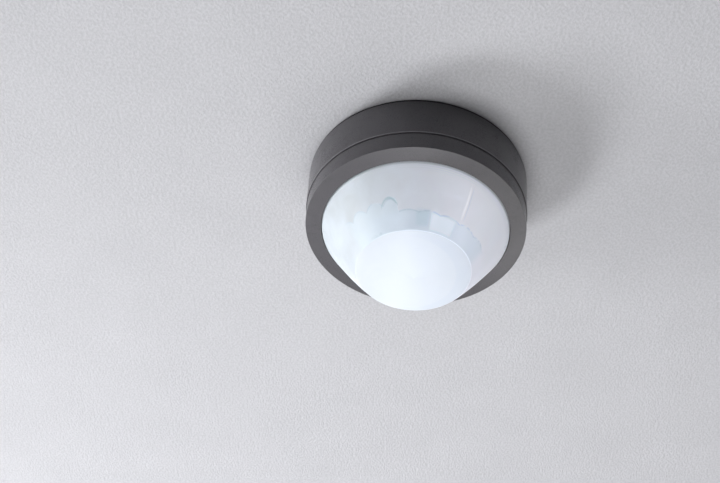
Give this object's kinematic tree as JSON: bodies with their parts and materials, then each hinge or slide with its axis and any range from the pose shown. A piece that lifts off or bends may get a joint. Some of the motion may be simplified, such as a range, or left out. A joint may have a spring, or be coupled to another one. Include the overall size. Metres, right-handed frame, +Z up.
{
  "type": "motion sensor",
  "caption": "Round surface-mounted ceiling motion sensor: anthracite housing, push-on trim ring and a milky cone-shaped lens with a rounded tip.",
  "frame": {"origin": "centre of the ceiling face, at the mouth of the cable entry", "axes": "+Z up into the ceiling; the sensor hangs below the origin; X along the two fixing slots"},
  "size_m": [0.126, 0.126, 0.076],
  "materials": {
    "anthracite_shell": "fine matt, purple-grey",
    "black_plastic": "matt",
    "black_foam": "closed-cell foam",
    "black_rubber": "matt",
    "opal_lens": "milky, satin gloss",
    "circuit_board": "solder resist",
    "zinc_steel": "zinc plated",
    "spring_steel": "bright strip",
    "nickel_can": "nickel plated",
    "grey_plastic": "satin",
    "white_plastic": "satin",
    "orange_plastic": "satin",
    "ferrite": "sintered",
    "copper_wire": "enamelled",
    "blue_coating": "dipped",
    "dark_sleeve": "shrunk sleeve",
    "filter_window": "infrared filter",
    "clear_resin": "clear",
    "ceramic": "fired"
  },
  "bodies": {
    "base": {"base_housing": "anthracite_shell", "ceiling_gasket": "black_foam", "cable_grommet": "black_rubber", "power_board": "circuit_board", "board_screws": "zinc_steel", "terminal_block": "grey_plastic", "terminal_clamps": "spring_steel", "relay": "black_plastic", "film_capacitor": "grey_plastic", "fuse": "black_plastic", "rectifier": "black_plastic", "transformer": "ferrite", "transformer_winding": "copper_wire", "varistor": "blue_coating", "electrolytic_capacitors": "dark_sleeve", "board_socket": "black_plastic", "module_catches": "spring_steel"},
    "sensor_module": {"carrier": "black_plastic", "sensor_board": "circuit_board", "module_back_cover": "black_plastic", "module_screws": "zinc_steel", "module_plug": "black_plastic", "lens_dome": "opal_lens", "sensor_tower": "black_plastic", "pyro_sensors": "nickel_can", "pyro_windows": "filter_window", "light_sensor": "clear_resin", "status_light": "clear_resin", "microcontroller": "black_plastic", "board_parts": "ceramic", "dial_bodies": "white_plastic", "switch_body": "black_plastic", "button_contact": "spring_steel", "ring_clips": "spring_steel"},
    "trim_ring": {"trim_ring": "anthracite_shell"},
    "time_dial": {"time_dial": "white_plastic"},
    "light_dial": {"light_dial": "white_plastic"},
    "mode_slider_1": {"mode_slider_1": "white_plastic"},
    "mode_slider_2": {"mode_slider_2": "white_plastic"},
    "mode_slider_3": {"mode_slider_3": "white_plastic"},
    "mode_slider_4": {"mode_slider_4": "white_plastic"},
    "program_button": {"program_button": "white_plastic"},
    "terminal_pusher_1": {"terminal_pusher_1": "orange_plastic"},
    "terminal_pusher_2": {"terminal_pusher_2": "orange_plastic"},
    "terminal_pusher_3": {"terminal_pusher_3": "orange_plastic"},
    "terminal_pusher_4": {"terminal_pusher_4": "orange_plastic"}
  },
  "joints": [
    {"name": "module_slide", "type": "slide", "parent": "base", "child": "sensor_module", "axis": [0, 0, -1], "range_m": [0, 0.045], "deforming": ["module_catches"]},
    {"name": "ring_slide", "type": "slide", "parent": "sensor_module", "child": "trim_ring", "axis": [0, 0, -1], "range_m": [0, 0.05], "deforming": ["ring_clips"]},
    {"name": "time_dial_turn", "type": "hinge", "parent": "sensor_module", "child": "time_dial", "pos_m": [-0.00775, -0.05513, -0.03], "axis": [0, 0, -1], "range_deg": [-135, 135]},
    {"name": "light_dial_turn", "type": "hinge", "parent": "sensor_module", "child": "light_dial", "pos_m": [0.00775, -0.05513, -0.03], "axis": [0, 0, -1], "range_deg": [-135, 135]},
    {"name": "mode_slider_1_slide", "type": "slide", "parent": "sensor_module", "child": "mode_slider_1", "axis": [0, 1, 0], "range_m": [0, 0.0016]},
    {"name": "mode_slider_2_slide", "type": "slide", "parent": "sensor_module", "child": "mode_slider_2", "axis": [0, 1, 0], "range_m": [0, 0.0016]},
    {"name": "mode_slider_3_slide", "type": "slide", "parent": "sensor_module", "child": "mode_slider_3", "axis": [0, 1, 0], "range_m": [0, 0.0016]},
    {"name": "mode_slider_4_slide", "type": "slide", "parent": "sensor_module", "child": "mode_slider_4", "axis": [0, 1, 0], "range_m": [0, 0.0016]},
    {"name": "program_button_press", "type": "slide", "parent": "sensor_module", "child": "program_button", "axis": [0, 0, 1], "range_m": [0, 0.0005], "stiffness_N_per_m": 3000, "springref_m": -0.0002},
    {"name": "terminal_pusher_1_press", "type": "slide", "parent": "base", "child": "terminal_pusher_1", "axis": [0, 0, 1], "range_m": [0, 0.0012], "stiffness_N_per_m": 4000, "springref_m": -0.0003},
    {"name": "terminal_pusher_2_press", "type": "slide", "parent": "base", "child": "terminal_pusher_2", "axis": [0, 0, 1], "range_m": [0, 0.0012], "stiffness_N_per_m": 4000, "springref_m": -0.0003},
    {"name": "terminal_pusher_3_press", "type": "slide", "parent": "base", "child": "terminal_pusher_3", "axis": [0, 0, 1], "range_m": [0, 0.0012], "stiffness_N_per_m": 4000, "springref_m": -0.0003},
    {"name": "terminal_pusher_4_press", "type": "slide", "parent": "base", "child": "terminal_pusher_4", "axis": [0, 0, 1], "range_m": [0, 0.0012], "stiffness_N_per_m": 4000, "springref_m": -0.0003}
  ]
}
